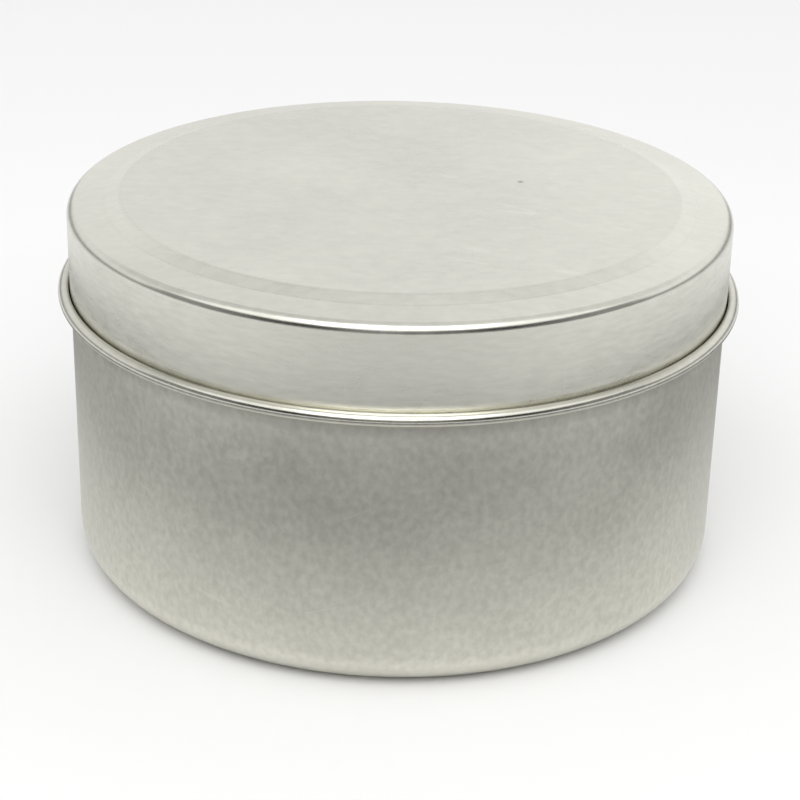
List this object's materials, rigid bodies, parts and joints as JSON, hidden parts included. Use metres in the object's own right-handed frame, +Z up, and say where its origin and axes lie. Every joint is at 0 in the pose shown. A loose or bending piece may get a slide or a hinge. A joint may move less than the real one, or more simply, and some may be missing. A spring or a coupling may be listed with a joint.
{
  "type": "candle tin",
  "caption": "Round drawn tinplate candle tin with a slip-cover lid that seats inside a rolled bead; the lid has a raised centre panel.",
  "frame": {"origin": "centre of the base, on the plane that the standing ring rests on", "axes": "+Z up along the axis of the tin, towards the lid; X and Y are free, because both pieces are surfaces of revolution"},
  "size_m": [0.086, 0.086, 0.0475],
  "materials": {
    "body_tinplate": "satin",
    "lid_tinplate": "satin"
  },
  "bodies": {
    "tin_body": {"tin_body": "body_tinplate"},
    "lid": {"lid": "lid_tinplate"}
  },
  "joints": [
    {"name": "lid_lift", "type": "slide", "parent": "tin_body", "child": "lid", "axis": [0, 0, 1], "range_m": [0, 0.03]}
  ]
}
